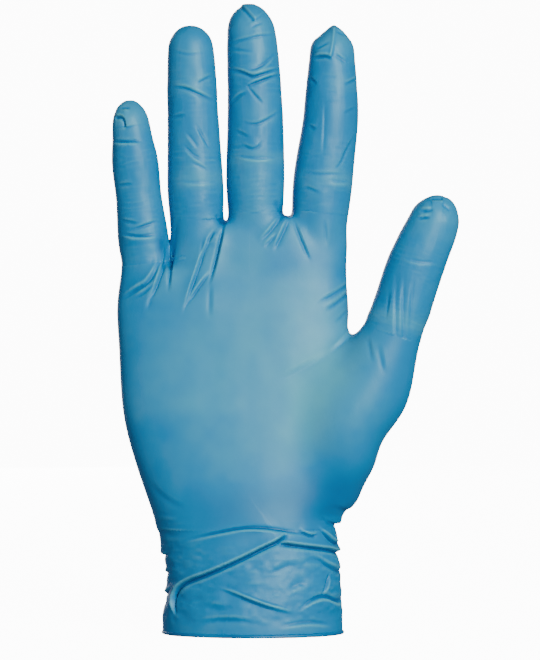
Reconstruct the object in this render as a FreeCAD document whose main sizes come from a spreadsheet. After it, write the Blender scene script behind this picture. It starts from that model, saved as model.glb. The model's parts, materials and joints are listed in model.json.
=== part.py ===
"""A disposable nitrile glove in the shape it has when it is worn, as a parametric document.

The glove is one dipped rubber film with a rolled rim. It stands on its rim with the fingers along +Z,
the palm facing -Y and the thumb towards +X. The origin is the middle of the wrist opening, in the plane
under the rim. The film is divided where it folds as the wearer's hand moves: a crease at each joint of the
hand, and between the creases the sleeves, which keep their shape. Millimetres and degrees throughout.
"""

import FreeCAD
import Part

import math
import os

V = FreeCAD.Vector

# Driving dimensions. Every name becomes an alias in the spreadsheet.
GENERAL = {
    "film": 0.15,  # wall thickness of the dipped film
    "rim_radius": 0.8,  # of the rolled bead round the opening
    "opening_width": 68.4,  # across the film at the rim
    "opening_depth": 49.0,
    "depth_share": 0.88,  # a finger's thickness as a share of its width
    "lean": 2.0,  # how far the fingers lean towards the palm side
    "axis_y": -1.5,  # a joint's axis lies this far towards the palm side of the finger's middle
    "thumb_roll": 30.0,  # the thumb folds this far round from the fingers' way, across the palm
    "wrist_at": 38.0,  # height of the wrist joint
    "root_fold": 62.0,  # the fold that each crease makes room for
    "knuckle_fold": 76.0,
    "tip_fold": 46.0,
    "thumb_fold": 46.0,
    "wrist_fold": 46.0,
    "joint_gap": 0.6,  # half the length of a crease on the joint's own axis
    "reach": 14.0,  # how far a finger's crease tool reaches from the finger's middle
    "wrist_reach": 40.0,
    "half_span": 20.0,  # half the width of the tools that divide a finger
    "thumb_half_span": 50.0,
    "wrist_span": 90.0,
}
# web_x, web_y and web_z are where the finger's axis passes its web. tilt is positive towards the thumb.
# The joints and the length are measured along the axis from there. cap_share is a rounded tip's length as a
# share of the pad's width.
FINGERS = {
    "index": {
        "web_x": 25.6, "web_y": 0.0, "web_z": 160.5, "tilt": 4.8, "length": 71.2, "cap_share": 0.68,
        "root_width": 22.2, "knuckle_width": 22.2, "shaft_width": 21.2, "joint_width": 19.8, "pad_width": 17.6,
        "root_at": 6.0, "knuckle_at": 23.0, "tip_at": 47.0,
    },
    "middle": {
        "web_x": 1.0, "web_y": -0.5, "web_z": 160.5, "tilt": -1.4, "length": 79.5, "cap_share": 0.68,
        "root_width": 21.4, "knuckle_width": 22.0, "shaft_width": 21.2, "joint_width": 20.4, "pad_width": 18.8,
        "root_at": 6.0, "knuckle_at": 25.0, "tip_at": 52.0,
    },
    "ring": {
        "web_x": -21.5, "web_y": 0.0, "web_z": 158.0, "tilt": -1.9, "length": 74.0, "cap_share": 0.6,
        "root_width": 20.8, "knuckle_width": 20.8, "shaft_width": 19.8, "joint_width": 19.2, "pad_width": 17.8,
        "root_at": 6.0, "knuckle_at": 23.5, "tip_at": 49.0,
    },
    "little": {
        "web_x": -40.8, "web_y": 1.0, "web_z": 141.0, "tilt": -6.1, "length": 63.0, "cap_share": 0.8,
        "root_width": 18.2, "knuckle_width": 18.0, "shaft_width": 17.8, "joint_width": 17.4, "pad_width": 15.0,
        "root_at": 6.0, "knuckle_at": 21.5, "tip_at": 42.0,
    },
}
THUMB = {
    "root_x": 54.4, "root_y": -9.6, "root_z": 120.0, "root_tilt": 18.0, "tip_at": 22.0, "cap_length": 13.8,
}
# The thumb's rings, from inside the heel of the palm to the pad: middle x, y, z, tilt, width and depth.
THUMB_RINGS = {
    "heel": (20.0, -1.5, 50.6, 42.0, 28.0, 22.0),
    "heel_side": (28.6, -4.2, 67.1, 34.0, 36.0, 28.6),
    "mound": (36.8, -7.0, 83.2, 27.0, 36.4, 32.0),
    "knuckle": (45.8, -8.5, 98.0, 24.0, 33.2, 26.8),
    "web": (54.2, -9.5, 117.5, 18.0, 23.4, 20.8),
    "base": (57.9, -10.0, 129.0, 18.0, 22.0, 19.4),
    "joint": (61.9, -10.5, 141.0, 19.0, 21.8, 18.8),
    "pad": (67.4, -11.5, 153.8, 23.0, 20.0, 16.8),
}
# Level sections of the hand from the rim to the knuckles: left edge, right edge, middle y, depth, squareness.
HAND_SECTIONS = {
    0.0: (-34.2, 34.2, 0.0, 49.0, 2.0),
    12.0: (-33.8, 34.2, 0.0, 47.0, 2.0),
    27.0: (-33.4, 33.2, 0.0, 44.5, 2.1),
    42.0: (-37.2, 32.0, 0.0, 42.0, 2.2),
    60.0: (-43.2, 33.2, 0.0, 38.5, 2.35),
    80.0: (-48.8, 35.2, 0.0, 35.0, 2.5),
    100.0: (-50.9, 36.4, 0.5, 31.5, 2.6),
    119.0: (-51.9, 36.8, 0.5, 28.5, 2.6),
    132.0: (-51.2, 36.2, 0.3, 24.5, 2.6),
    140.0: (-50.2, 36.0, 0.3, 21.0, 2.6),
}
# The part of the palm that carries the webs of the three longer fingers.
WEB_SECTIONS = {
    122.0: (-30.4, 34.4, 0.2, 23.0, 2.6),
    140.0: (-31.4, 35.8, 0.0, 21.5, 2.6),
    150.0: (-31.4, 36.2, 0.0, 20.0, 2.6),
    157.0: (-30.8, 35.4, 0.0, 17.0, 2.6),
}
SECTION_POINTS = 24
CAP_ANGLES = (22, 42, 58, 70, 79)  # the rings of a rounded tip, from its widest ring to its end
ROOT_DEPTH = 26.0  # how far a finger's surface runs on inside the palm
BELOW_RIM = 5.0  # the hand's surfaces run on below the rim, and the cuff's sleeve is cut off above it
TALL = 260.0  # taller than the glove
SLEEVES = {finger: ("base", "shaft", "tip") for finger in FINGERS} | {"thumb": ("base", "tip")}

nodes = {}

doc = FreeCAD.newDocument("worn_glove")
sheet = doc.addObject("Spreadsheet::Sheet", "sizes")


def fill_sheet():
    """One row for each driving dimension: its name, and its value under that name as an alias."""
    rows = dict(GENERAL)
    for finger, values in FINGERS.items():
        rows.update({f"{finger}_{key}": value for key, value in values.items()})
    rows.update({f"thumb_{key}": value for key, value in THUMB.items()})
    for ring, (_, _, _, _, width, depth) in THUMB_RINGS.items():
        rows[f"thumb_{ring}_width"] = width
        rows[f"thumb_{ring}_depth"] = depth
    for row, (name, value) in enumerate(rows.items(), 1):
        sheet.set(f"A{row}", name)
        sheet.set(f"B{row}", str(value))
        sheet.setAlias(f"B{row}", name)
    doc.recompute()


def size(name):
    return float(sheet.get(name))


def new(kind, name, place=None, **sizes):
    """An object whose named properties are bound to expressions of the sheet's values."""
    made = doc.addObject(kind, name)
    for prop, expression in sizes.items():
        made.setExpression(prop, expression)
    if place:
        made.Placement = place
    return made


def loft(name, rings, place=None):
    made = new("Part::Loft", name, place)
    made.Sections = rings
    made.Solid = True
    made.MaxDegree = 3
    return made


def fuse(name, shapes):
    made = doc.addObject("Part::MultiFuse", name)
    made.Shapes = shapes
    made.Refine = False
    return made


def common(name, base, tool):
    made = doc.addObject("Part::Common", name)
    made.Base, made.Tool = base, tool
    made.Refine = False
    return made


def cut(name, base, tool):
    made = doc.addObject("Part::Cut", name)
    made.Base, made.Tool = base, tool
    made.Refine = False
    return made


def turned(tilt, roll=0.0):
    """The rotation of a finger that tilts to the thumb, leans to the palm side and rolls about itself."""
    tilted = FreeCAD.Rotation(V(0, 1, 0), tilt)
    leaning = tilted.multiply(FreeCAD.Rotation(V(1, 0, 0), size("lean")))
    return leaning.multiply(FreeCAD.Rotation(V(0, 0, 1), -roll))


def finger_place(finger):
    base = V(size(f"{finger}_web_x"), size(f"{finger}_web_y"), size(f"{finger}_web_z"))
    return FreeCAD.Placement(base, turned(size(f"{finger}_tilt")))


def thumb_place():
    base = V(size("thumb_root_x"), size("thumb_root_y"), size("thumb_root_z"))
    return FreeCAD.Placement(base, turned(size("thumb_root_tilt"), size("thumb_roll")))


def along(place, distance):
    """A place further along its own +Z."""
    return FreeCAD.Placement(place.Base + place.Rotation.multVec(V(0, 0, distance)), place.Rotation)


def cap_rings():
    """How far along a rounded tip each ring lies and how wide it is, as shares of its length and width."""
    return [(math.sin(math.radians(angle)), math.cos(math.radians(angle))) for angle in CAP_ANGLES]


def ellipse(name, width, depth, share, place):
    """An elliptical ring: width and depth are expressions, and share scales both."""
    return new(
        "Part::Ellipse", name, place,
        MajorRadius=f"({width}) / 2 * {share:.4f}",
        MinorRadius=f"({depth}) / 2 * {share:.4f}",
    )


def finger_surface(finger, side, wall):
    """A finger's outside or inside as a solid. wall is the expression taken off its width and depth."""
    inset = size("film") if wall else 0.0
    cap = size(f"{finger}_cap_share") * size(f"{finger}_pad_width")
    pad_at = size(f"{finger}_length") - inset - cap
    knuckle_at, tip_at = size(f"{finger}_knuckle_at"), size(f"{finger}_tip_at")
    stations = [
        ("inside", -ROOT_DEPTH, "root_width", 0.9),
        ("web", 0.0, "root_width", 1.0),
        ("knuckle", knuckle_at, "knuckle_width", 1.0),
        ("shaft", (knuckle_at + tip_at) / 2, "shaft_width", 1.0),
        ("joint", tip_at, "joint_width", 1.0),
        ("pad", pad_at, "pad_width", 1.0),
    ]
    for n, (far, wide) in enumerate(cap_rings()):
        stations.append((f"cap_{n}", pad_at + far * cap, "pad_width", wide))
    rings = []
    for part, height, width, share in stations:
        wide = f"sizes.{finger}_{width}{wall}"
        deep = f"sizes.{finger}_{width} * sizes.depth_share{wall}"
        place = FreeCAD.Placement(V(0, 0, height), FreeCAD.Rotation())
        rings.append(ellipse(f"{finger}_{side}_{part}", wide, deep, share, place))
    return loft(f"{finger}_{side}", rings, finger_place(finger))


def thumb_surface(side, wall):
    """The outside or inside of the thumb with its mound, as one bent solid."""
    inset = size("film") if wall else 0.0
    rings = []
    for ring, (x, y, z, tilt, _, _) in THUMB_RINGS.items():
        place = FreeCAD.Placement(V(x, y, z), turned(tilt))
        wide, deep = f"sizes.thumb_{ring}_width{wall}", f"sizes.thumb_{ring}_depth{wall}"
        rings.append(ellipse(f"thumb_{side}_{ring}", wide, deep, 1.0, place))
    cap = size("thumb_cap_length") - inset
    wide, deep = f"sizes.thumb_pad_width{wall}", f"sizes.thumb_pad_depth{wall}"
    for n, (far, share) in enumerate(cap_rings()):
        rings.append(ellipse(f"thumb_{side}_cap_{n}", wide, deep, share, along(place, far * cap)))
    return loft(f"thumb_{side}", rings)


def oval_ring(name, height, left, right, middle_y, depth, squareness, inset):
    """A level superellipse between the left and right edges."""
    half_width, half_depth = (right - left) / 2 - inset, depth / 2 - inset
    points = []
    for n in range(SECTION_POINTS):
        c = math.cos(2 * math.pi * n / SECTION_POINTS)
        s = math.sin(2 * math.pi * n / SECTION_POINTS)
        x = half_width * math.copysign(abs(c) ** (2 / squareness), c)
        y = half_depth * math.copysign(abs(s) ** (2 / squareness), s)
        points.append(V((left + right) / 2 + x, middle_y + y, height))
    curve = Part.BSplineCurve()
    curve.interpolate(points, PeriodicFlag=True)
    made = doc.addObject("Part::Feature", name)
    made.Shape = Part.Wire(curve.toShape())
    return made


def hand_surface(name, sections, inset, below=0.0):
    """A loft of level sections. below carries the first one down past the rim."""
    top = max(sections)
    rings = []
    for n, (height, values) in enumerate(sections.items()):
        if n == 0 and below:
            rings.append(oval_ring(f"{name}_below", height - below, *values, inset))
        level = height - inset if height == top else height
        rings.append(oval_ring(f"{name}_{n}", level, *values, inset))
    return loft(name, rings)


def slab(name, place, start, end, span):
    """A block across a finger or the hand, between two distances along its axis."""
    across = size(span)
    foot = along(place, start)
    corner = foot.multVec(V(-across, -across, 0))
    return new(
        "Part::Box", name, FreeCAD.Placement(corner, foot.Rotation),
        Length=f"2 * sizes.{span}", Width=f"2 * sizes.{span}", Height=f"{end} - {start}",
    )


def half_opening(fold, reach, axis):
    """Expression for half the length of a crease at the reach of its tool: it closes as the joint folds."""
    return f"sizes.joint_gap + (sizes.{reach} + {axis}) * tan(sizes.{fold} / 2 * 1 deg)"


def finger_crease(name, place, fold, span):
    """The room that a joint folds in: a wedge open to the palm side, and a thin band across the back."""
    wide = half_opening(fold, "reach", "sizes.axis_y")
    wedge = new(
        "Part::Wedge", f"{name}_wedge", place,
        Xmin=f"-sizes.{span}", Xmax=f"sizes.{span}", X2min=f"-sizes.{span}", X2max=f"sizes.{span}",
        Ymin="-sizes.reach", Ymax="sizes.axis_y",
        Zmin=f"-({wide})", Zmax=wide, Z2min="-sizes.joint_gap", Z2max="sizes.joint_gap",
    )
    corner = place.multVec(V(-size(span), size("axis_y"), -size("joint_gap")))
    band = new(
        "Part::Box", f"{name}_band", FreeCAD.Placement(corner, place.Rotation),
        Length=f"2 * sizes.{span}", Width="sizes.reach - sizes.axis_y", Height="2 * sizes.joint_gap",
    )
    return fuse(f"{name}_room", [wedge, band])


def wrist_crease(place):
    """The room that the wrist folds in, to both sides."""
    wide = half_opening("wrist_fold", "wrist_reach", "0")
    halves = []
    for side, near, far in (("front", "-sizes.wrist_reach", "0"), ("back", "0", "sizes.wrist_reach")):
        at_near, at_far = (wide, "sizes.joint_gap") if side == "front" else ("sizes.joint_gap", wide)
        halves.append(new(
            "Part::Wedge", f"wrist_{side}", place,
            Xmin="-sizes.wrist_span", Xmax="sizes.wrist_span",
            X2min="-sizes.wrist_span", X2max="sizes.wrist_span",
            Ymin=near, Ymax=far,
            Zmin=f"-({at_near})", Zmax=at_near, Z2min=f"-({at_far})", Z2max=at_far,
        ))
    return fuse("wrist_room", halves)


def named(node, shape):
    """Marks an object as a sub-part: its label is the node's name."""
    shape.Label = node
    nodes[node] = shape


def divide(digit, film, place, joints, span):
    """Divides a digit's film into the crease at each joint and the sleeve after it."""
    rooms = []
    for joint, at, fold in joints:
        rooms.append(finger_crease(f"{digit}_{joint}", along(place, at), fold, span))
        named(f"{digit}_{joint}_crease", common(f"{digit}_{joint}_film", film, rooms[-1]))
    ends = [at for _, at, _ in joints[1:]] + [TALL]
    for n, ((joint, at, _), end) in enumerate(zip(joints, ends)):
        length = common(f"{digit}_{joint}_length", film, slab(f"{digit}_{joint}_slab", place, at, end, span))
        tools = rooms[n] if n + 1 == len(joints) else fuse(f"{digit}_{joint}_ends", rooms[n:n + 2])
        named(f"{digit}_{SLEEVES[digit][n]}", cut(f"{digit}_{joint}_sleeve", length, tools))
    return rooms[0]


def stub(digit, surface, place, at, room, span):
    """The part of a digit's outside that belongs to the palm: what lies under its root crease."""
    low = slab(f"{digit}_stub_slab", place, -TALL, at, span)
    return cut(f"{digit}_stub", common(f"{digit}_stub_length", surface, low), room)


fill_sheet()
upright = FreeCAD.Placement()
outsides, insides = [], []

for finger in FINGERS:
    place = finger_place(finger)
    outside = finger_surface(finger, "outside", "")
    inside = finger_surface(finger, "inside", " - 2 * sizes.film")
    film = cut(f"{finger}_film", outside, inside)
    joints = [(joint, size(f"{finger}_{joint}_at"), f"{joint}_fold") for joint in ("root", "knuckle", "tip")]
    room = divide(finger, film, place, joints, "half_span")
    outsides.append(stub(finger, outside, place, joints[0][1], room, "half_span"))
    insides.append(inside)

place = thumb_place()
outside = thumb_surface("outside", "")
inside = thumb_surface("inside", " - 2 * sizes.film")
film = cut("thumb_film", outside, inside)
joints = [("root", 0.0, "thumb_fold"), ("tip", size("thumb_tip_at"), "thumb_fold")]
room = divide("thumb", film, place, joints, "thumb_half_span")
outsides.append(stub("thumb", outside, place, 0.0, room, "thumb_half_span"))
insides.append(inside)

hand_outside = hand_surface("hand_outside", HAND_SECTIONS, 0.0, BELOW_RIM)
hand_inside = hand_surface("hand_inside", HAND_SECTIONS, size("film"), BELOW_RIM)
webs_outside = hand_surface("webs_outside", WEB_SECTIONS, 0.0)
insides += [hand_inside, hand_surface("webs_inside", WEB_SECTIONS, size("film"))]
wrist_at, rim_top = size("wrist_at"), 2 * size("rim_radius")
wrist_room = wrist_crease(along(upright, wrist_at))
named("wrist_crease", cut("wrist_film", common("wrist_length", hand_outside, wrist_room), hand_inside))
cuff_length = common("cuff_length", hand_outside, slab("cuff_slab", upright, rim_top, wrist_at, "wrist_span"))
named("cuff_sleeve", cut("cuff_film", cut("cuff_outside", cuff_length, wrist_room), hand_inside))

upper = common("hand_length", hand_outside, slab("hand_slab", upright, wrist_at, TALL, "wrist_span"))
outsides += [cut("hand_upper", upper, wrist_room), webs_outside]
palm_outside = fuse("palm_outside", outsides)
hollow = doc.addObject("Part::Compound", "palm_hollow")
hollow.Links = insides
named("palm", cut("palm_film", palm_outside, hollow))

rim_level = FreeCAD.Placement(V(0, 0, size("rim_radius")), FreeCAD.Rotation())
rim_width, rim_depth = "sizes.opening_width - sizes.film", "sizes.opening_depth - sizes.film"
rim_line = ellipse("rim_line", rim_width, rim_depth, 1.0, rim_level)
rim_side = V((size("opening_width") - size("film")) / 2, 0, size("rim_radius"))
upright_turn = FreeCAD.Rotation(V(1, 0, 0), 90)
rim_round = new(
    "Part::Circle", "rim_round", FreeCAD.Placement(rim_side, upright_turn), Radius="sizes.rim_radius",
)
rim = doc.addObject("Part::Sweep", "rim_roll")
rim.Sections = [rim_round]
rim.Spine = (rim_line, ["Edge1"])
rim.Solid = True
rim.Frenet = True
named("rim_bead", rim)

doc.recompute()
bad = [made.Name for made in doc.Objects if {"Invalid", "Error"} & set(made.State)]
bad += [node for node, made in nodes.items() if made.Shape.isNull() or not made.Shape.isValid()]
if bad:
    raise SystemExit(f"failed objects: {sorted(set(bad))}")
os.makedirs("parts", exist_ok=True)
for node, made in nodes.items():
    made.Shape.exportStep(f"parts/{node}.step")
    print(f"{node}: {made.Shape.Volume:.1f} mm3, {len(made.Shape.Solids)} solid")
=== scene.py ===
"""A worn nitrile glove: one smooth film with its folds and wrinkles, in sections cut at the joints."""

import json
import math

import bmesh
import bpy
import numpy as np
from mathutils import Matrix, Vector


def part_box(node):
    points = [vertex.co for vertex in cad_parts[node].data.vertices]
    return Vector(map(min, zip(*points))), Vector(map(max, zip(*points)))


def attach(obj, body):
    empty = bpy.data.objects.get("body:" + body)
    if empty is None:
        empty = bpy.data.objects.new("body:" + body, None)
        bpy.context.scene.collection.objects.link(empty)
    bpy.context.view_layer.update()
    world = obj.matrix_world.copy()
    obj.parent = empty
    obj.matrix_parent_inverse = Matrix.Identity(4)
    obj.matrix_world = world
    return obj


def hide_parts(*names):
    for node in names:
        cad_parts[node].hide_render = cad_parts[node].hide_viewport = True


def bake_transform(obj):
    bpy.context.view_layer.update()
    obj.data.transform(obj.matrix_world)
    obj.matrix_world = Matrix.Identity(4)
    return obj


MM = 0.001
VOXEL = 0.85 * MM
SPREAD = 2.7  # The skin is drawn out sideways by this much while it is remeshed.
FILM = 0.15 * MM  # The thickness of the film.
CUT_AT, CUFF_BOTTOM = 3.4 * MM, 0.7 * MM  # The skin is cut off at the first and carried down to the second.
BODY_ROUNDS, MOUND_ROUNDS = 40, 800  # Rounds of smoothing, for the whole skin and for the thumb's mound.
SHARE = 0.6  # How far a vertex goes towards the mean of its neighbours in each round.
WEB = -5.8 * MM  # The digits' webs lie this far from the root joints, along the digit.
DIGIT_REACH = 17 * MM  # A digit's film lies nearer than this to the digit's line.
UNDER_WEB = 14 * MM  # Down to this far under the webs, the nearest digit decides which film is the palm's.
PALM_FROM = 40.0  # The palm's folds and swells start at this height, in millimetres.
ROUND_CUFF = 0.52  # Millimetres for each degree round the cuff.
WRIST_BEND, WRIST_END = 13.0, 54.0  # Half the wrist's bend and where its film ends, in millimetres.
FINGERS = ("index", "middle", "ring", "little")
# Where the film bends at each joint, in millimetres along the digit from its root joint.
BENDS = {
    "index": [(-5.6, 7.6), (8.8, 25.2), (36.7, 45.3)],
    "middle": [(-5.6, 7.4), (10.9, 27.1), (41.6, 50.4)],
    "ring": [(-5.6, 6.8), (9.9, 25.1), (38.8, 47.2)],
    "little": [(-1.4, 9.2), (9.6, 22.2), (32.3, 39.7)],
    "thumb": [(-5.0, 5.0), (16.6, 27.4)],
}
# How steeply a digit's two lower bends slant up towards the thumb's side, to start above the web there.
SLANTS = {"little": 0.45}
# Sideways bends of a digit: how far towards the thumb, where along the digit, and over what length.
BOWS = {"index": [(1.0, 30.0, 14.0), (-1.0, 68.0, 16.0)], "middle": [(0.8, 34.0, 24.0), (-0.4, 74.0, 12.0)]}
# Pale bands of drawn film across a digit: where, how wide and how strong.
PALE_BANDS = {
    "index": [(7.0, 3.0, 0.22)], "middle": [(14.5, 3.0, 0.26)], "ring": [(8.5, 4.0, 0.22)],
    "thumb": [(0.0, 3.0, 0.3)],
}
# Where the film is painted paler (drawn thin at the fingertips, and a painted sheen on the palm, thenar and
# thumb) and, below 0, painted shade in the webs and at the heel: x, z, reach in x and z, and how much.
STRETCH_SHEEN_AND_SHADE_PLACES = [
    (28.0, 98.0, 13.0, 20.0, 0.75), (-8.0, 108.0, 36.0, 40.0, 0.45), (0.0, 70.0, 30.0, 18.0, 0.15),
    (30.0, 54.0, 18.0, 12.0, -0.8), (-4.0, 50.0, 26.0, 9.0, -0.5), (66.0, 158.0, 9.0, 12.0, 0.3),
    (19.0, 80.0, 8.0, 20.0, 0.35), (12.0, 160.6, 2.2, 3.0, -1.7), (-11.6, 157.6, 1.6, 2.4, -1.6),
    (-35.0, 148.0, 1.4, 4.0, -1.2), (-23.0, 221.0, 9.0, 9.0, 0.3), (0.0, 231.0, 9.0, 8.0, 0.3),
    (30.0, 225.0, 9.0, 7.0, 0.35), (-48.0, 196.0, 8.0, 8.0, 0.4),
]
# Corrections of the outline in millimetres. On the heel's thumb side: z, reach, and how far outwards.
HEEL_SHIFTS = [(64.0, 8.0, 2.4), (45.0, 4.1, -4.6)]
# In the webs: x, z, reach in x and z, and how far up.
WEB_RISES = [(38.0, 110.0, 7.0, 8.0, 3.4), (12.8, 156.4, 3.4, 5.0, 2.4)]
# On the index finger's end: x, reach, and how far up.
TIP_RISES = [(30.8, 1.6, 0.8), (25.2, 3.6, -1.8), (36.4, 2.4, -0.7)]
# How high the finer wrinkles stand, in millimetres: on the digits, in the loose cuff and over the palm.
RIDGE, SOFT, DENT, RIPPLE, SWELL = 0.035, 0.12, 0.34, 0.3, 0.16
# Colours of the film's ramp: the deep blue also paints shade in creases, webs and heel, and the pale blue
# also paints the sheen on the palm and thumb; the bead's lines use the deep and middle blue.
DEEP_BLUE, BLUE, PALE_BLUE = (0.0, 0.085, 0.28), (0.0, 0.185, 0.45), (0.12, 0.40, 0.53)

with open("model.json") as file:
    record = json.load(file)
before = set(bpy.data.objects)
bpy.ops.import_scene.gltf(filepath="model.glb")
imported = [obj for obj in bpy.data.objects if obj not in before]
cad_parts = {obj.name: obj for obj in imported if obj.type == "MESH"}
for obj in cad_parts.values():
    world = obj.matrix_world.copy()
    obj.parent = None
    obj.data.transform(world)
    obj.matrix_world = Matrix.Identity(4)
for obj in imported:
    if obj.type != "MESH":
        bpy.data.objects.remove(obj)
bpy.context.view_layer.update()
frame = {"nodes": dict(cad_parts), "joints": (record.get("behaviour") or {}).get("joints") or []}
JOINTS = {joint["name"]: joint for joint in frame["joints"]}


# ---------------------------------------------------------------- the hand's lines, from the frame's joints

def joint_at(name):
    return np.array(JOINTS[name]["pos_m"])


def joint_axis(name):
    return np.array(JOINTS[name]["axis"])


def unit(v):
    return v / np.linalg.norm(v)


class Digit:
    """A finger or thumb: its joints and its directions, in metres."""

    def __init__(self, name, joints):
        self.name = name
        self.joints = [f"{name}_{joint}_fold" for joint in joints]
        self.root = joint_at(self.joints[0])
        self.side = joint_axis(self.joints[0])
        self.up = unit(joint_at(self.joints[-1]) - self.root)
        self.front = np.cross(self.up, self.side) * -1.0


DIGITS = {name: Digit(name, ("root", "knuckle", "tip")) for name in FINGERS}
DIGITS["thumb"] = Digit("thumb", ("root", "tip"))


# ---------------------------------------------------------------- small mesh tools on arrays

def mesh_arrays(mesh):
    """Vertex positions and faces of a mesh whose faces all have the same number of corners."""
    co = np.empty(len(mesh.vertices) * 3)
    mesh.vertices.foreach_get("co", co)
    corners = np.empty(len(mesh.loops), int)
    mesh.loops.foreach_get("vertex_index", corners)
    return co.reshape(-1, 3), corners.reshape(len(mesh.polygons), -1)


def new_mesh(name, co, faces):
    mesh = bpy.data.meshes.new(name)
    mesh.from_pydata(co.tolist(), [], faces.tolist())
    mesh.update()
    return mesh


def new_object(name, mesh):
    obj = bpy.data.objects.new(name, mesh)
    bpy.context.scene.collection.objects.link(obj)
    return obj


def applied(obj):
    """The mesh of an object with its modifiers applied. The object is removed."""
    graph = bpy.context.evaluated_depsgraph_get()
    mesh = bpy.data.meshes.new_from_object(obj.evaluated_get(graph))
    bpy.data.objects.remove(obj)
    return mesh


def smoothstep(low, high, x):
    t = np.clip((x - low) / (high - low), 0.0, 1.0)
    return t * t * (3.0 - 2.0 * t)


def bell(x, width):
    return np.exp(-((x / width) ** 2))


def edges_of(faces):
    """Both directions of each side of each face."""
    after = np.roll(faces, -1, 1)
    return np.concatenate([np.stack([faces[:, i], after[:, i]], 1) for i in range(faces.shape[1])])


def relaxed(co, faces, weight, rounds):
    """Laplacian smoothing, as much as each vertex's weight says."""
    pairs = edges_of(faces)
    start, end = pairs[:, 0], pairs[:, 1]
    count = np.bincount(start, minlength=len(co))[:, None]
    co = co.copy()
    for _ in range(rounds):
        mean = np.stack([np.bincount(start, co[end, k], len(co)) for k in range(3)], 1) / count
        co += SHARE * weight[:, None] * (mean - co)
    return co


def normals_of(co, faces):
    """The normal at each vertex, as the mean of its faces' normals weighted by their areas."""
    a, b, c, d = (co[faces[:, k]] for k in range(4))
    flat = np.cross(c - a, d - b)
    out = np.zeros_like(co)
    for k in range(4):
        for axis in range(3):
            out[:, axis] += np.bincount(faces[:, k], flat[:, axis], len(co))
    return out / np.maximum(np.linalg.norm(out, axis=1), 1e-12)[:, None]


def lattice_noise(p, seed):
    """Smooth noise between -1 and 1 at points p, from a fixed hash of the cells of a unit lattice."""
    cell = np.floor(p).astype(np.int64)
    f = p - cell
    f = f * f * f * (f * (f * 6.0 - 15.0) + 10.0)
    total = np.zeros(len(p))
    for corner in range(8):
        step = np.array([corner >> k & 1 for k in range(3)])
        q = cell + step
        h = (q[:, 0] * 73856093) ^ (q[:, 1] * 19349663) ^ (q[:, 2] * 83492791) ^ (seed * 2654435761)
        h = (h ^ (h >> 13)) * 1274126177
        value = ((h ^ (h >> 16)) & 65535) / 32767.5 - 1.0
        total += value * np.prod(np.where(step, f, 1.0 - f), axis=1)
    return total


# ---------------------------------------------------------------- the outer skin, as one surface

def closed_film():
    """All of the CAD film in one mesh, with a disc across the wrist, so that only its outside can be reached.

    It is drawn out sideways, which keeps the narrow gaps between the fingers open in the remesh."""
    bm = bmesh.new()
    for node, obj in frame["nodes"].items():
        if node != "rim_bead":
            bm.from_mesh(obj.data)
    low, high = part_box("cuff_sleeve")
    middle = 0.5 * (low + high)
    corners = 120
    turns = [2.0 * math.pi * k / corners for k in range(corners)]
    half_width, half_depth = middle.x - low.x, middle.y - low.y
    disc = [
        bm.verts.new((middle.x + half_width * math.cos(t), middle.y + half_depth * math.sin(t), low.z + FILM))
        for t in turns
    ]
    bm.faces.new(disc)
    for vert in bm.verts:
        vert.co.x *= SPREAD
    return bm


def remeshed(bm):
    mesh = bpy.data.meshes.new("skin")
    bm.to_mesh(mesh)
    bm.free()
    obj = new_object("skin", mesh)
    remesh = obj.modifiers.new("remesh", "REMESH")
    remesh.mode = "VOXEL"
    remesh.voxel_size = VOXEL
    return applied(obj)


def opened(mesh, level, bottom, steps=3):
    """Cuts the surface off under a level, then carries its edge straight down to the bottom."""
    bm = bmesh.new()
    bm.from_mesh(mesh)
    bmesh.ops.delete(bm, geom=[v for v in bm.verts if v.co.z < level], context="VERTS")
    rim = [e for e in bm.edges if e.is_boundary]
    for step in range(steps):
        grown = bmesh.ops.extrude_edge_only(bm, edges=rim)["geom"]
        rim = [g for g in grown if isinstance(g, bmesh.types.BMEdge) and g.is_boundary]
        for vert in {v for e in rim for v in e.verts}:
            vert.co.z += (bottom - vert.co.z) / (steps - step)
    bm.to_mesh(mesh)
    bm.free()
    return mesh


def largest_part(co, faces):
    """The largest connected part of a mesh, with the loose bits left out."""
    label = np.arange(len(co))
    pairs = edges_of(faces)
    while True:
        lower = label.copy()
        np.minimum.at(lower, pairs[:, 0], label[pairs[:, 1]])
        lower = lower[lower]
        if (lower == label).all():
            break
        label = lower
    kept = label == np.bincount(label).argmax()
    index = np.cumsum(kept) - 1
    faces = faces[kept[faces[:, 0]]]
    return co[kept], index[faces]


def subdivided(co, faces):
    obj = new_object("fine", new_mesh("fine", co, faces))
    fine = obj.modifiers.new("fine", "SUBSURF")
    fine.levels = 1
    return mesh_arrays(applied(obj))


def on_digits(co):
    """For each point, the number of its digit (-1 for the palm and cuff) and its place along that digit."""
    best = np.full(len(co), DIGIT_REACH)
    owner = np.full(len(co), -1)
    place = np.zeros(len(co))
    for number, digit in enumerate(DIGITS.values()):
        offset = co - digit.root
        run = offset @ digit.up
        gap = np.linalg.norm(offset - np.outer(run, digit.up), axis=1)
        closer = (run > WEB - UNDER_WEB) & (gap < best)
        best[closer] = gap[closer]
        owner[closer] = number
        place[closer] = run[closer]
    below = place <= WEB
    return np.where(below, -1, owner), np.where(below, 0.0, place)


def body_weight(co):
    """Where the skin is smoothed: fully on the palm and webs, little on the digits and near the rim."""
    owner, place = on_digits(co)
    weight = smoothstep(2 * MM, 8 * MM, co[:, 2])
    on_digit = np.maximum(0.12, 1.0 - (place - WEB) / (12 * MM))
    return np.where(owner >= 0, np.minimum(weight, on_digit), weight)


def mound_weight(co):
    """Where the thumb's mound is smoothed into the palm."""
    x, z = co[:, 0] / MM, co[:, 2] / MM
    weight = smoothstep(44.0, 54.0, z) * smoothstep(122.0, 106.0, z) * smoothstep(-8.0, 10.0, x)
    return weight * smoothstep(56.0, 44.0, x - 0.3 * (z - 60.0))


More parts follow.
